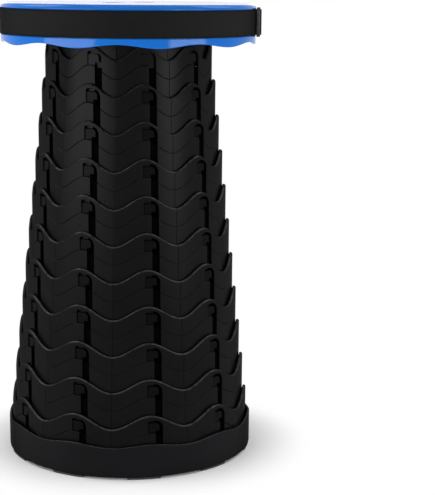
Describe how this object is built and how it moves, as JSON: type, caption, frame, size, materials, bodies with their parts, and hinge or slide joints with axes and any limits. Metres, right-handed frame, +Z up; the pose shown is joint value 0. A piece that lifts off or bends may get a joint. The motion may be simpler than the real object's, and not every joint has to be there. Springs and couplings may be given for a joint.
{
  "type": "collapsible telescopic stool",
  "caption": "Round stool on nested black sleeves that slide into each other, with a glossy blue seat, two finger holes, and a webbing strap with a carrying loop.",
  "frame": {"origin": "on the floor at the middle of the base", "axes": "+Z up through the seat; the slider of the strap faces +X, turned 6 degrees towards -Y, and the carrying loop leaves the rim at the rear, towards +X and +Y"},
  "size_m": [0.2559, 0.2959, 0.448],
  "materials": {
    "seat_plastic": "glossy blue moulded plastic",
    "sleeve_plastic": "satin black moulded plastic",
    "base_plastic": "satin black moulded plastic",
    "foot_rubber": "soft black rubber",
    "webbing": "black woven webbing",
    "buckle_plastic": "black moulded plastic",
    "screw_steel": "zinc plated steel"
  },
  "bodies": {
    "base": {"base_ring": "base_plastic", "base_plate": "base_plastic", "base_feet": "foot_rubber", "base_screws": "screw_steel", "sleeve_11": "sleeve_plastic"},
    "tier_10": {"sleeve_10": "sleeve_plastic"},
    "tier_09": {"sleeve_09": "sleeve_plastic"},
    "tier_08": {"sleeve_08": "sleeve_plastic"},
    "tier_07": {"sleeve_07": "sleeve_plastic"},
    "tier_06": {"sleeve_06": "sleeve_plastic"},
    "tier_05": {"sleeve_05": "sleeve_plastic"},
    "tier_04": {"sleeve_04": "sleeve_plastic"},
    "tier_03": {"sleeve_03": "sleeve_plastic"},
    "tier_02": {"sleeve_02": "sleeve_plastic"},
    "tier_01": {"sleeve_01": "sleeve_plastic"},
    "seat": {"seat_top": "seat_plastic", "seat_cap": "seat_plastic", "seat_neck": "sleeve_plastic", "seat_screws": "screw_steel", "strap_band": "webbing", "strap_buckle": "buckle_plastic", "strap_tail": "webbing"},
    "handle": {"strap_handle": "webbing"}
  },
  "joints": [
    {"name": "tier_10_slide", "type": "slide", "parent": "base", "child": "tier_10", "axis": [0, 0, 1], "range_m": [-0.0347, 0]},
    {"name": "tier_09_slide", "type": "slide", "parent": "tier_10", "child": "tier_09", "axis": [0, 0, 1], "range_m": [-0.0347, 0]},
    {"name": "tier_08_slide", "type": "slide", "parent": "tier_09", "child": "tier_08", "axis": [0, 0, 1], "range_m": [-0.0347, 0]},
    {"name": "tier_07_slide", "type": "slide", "parent": "tier_08", "child": "tier_07", "axis": [0, 0, 1], "range_m": [-0.0347, 0]},
    {"name": "tier_06_slide", "type": "slide", "parent": "tier_07", "child": "tier_06", "axis": [0, 0, 1], "range_m": [-0.0347, 0]},
    {"name": "tier_05_slide", "type": "slide", "parent": "tier_06", "child": "tier_05", "axis": [0, 0, 1], "range_m": [-0.0347, 0]},
    {"name": "tier_04_slide", "type": "slide", "parent": "tier_05", "child": "tier_04", "axis": [0, 0, 1], "range_m": [-0.0347, 0]},
    {"name": "tier_03_slide", "type": "slide", "parent": "tier_04", "child": "tier_03", "axis": [0, 0, 1], "range_m": [-0.0347, 0]},
    {"name": "tier_02_slide", "type": "slide", "parent": "tier_03", "child": "tier_02", "axis": [0, 0, 1], "range_m": [-0.0347, 0]},
    {"name": "tier_01_slide", "type": "slide", "parent": "tier_02", "child": "tier_01", "axis": [0, 0, 1], "range_m": [-0.0347, 0]},
    {"name": "seat_slide", "type": "slide", "parent": "tier_01", "child": "seat", "axis": [0, 0, 1], "range_m": [-0.0265, 0]},
    {"name": "handle_fold", "type": "hinge", "parent": "seat", "child": "handle", "pos_m": [0.07158, 0.10612, 0.4179], "axis": [-0.829, 0.5592, 0], "range_deg": [0, 90]}
  ]
}
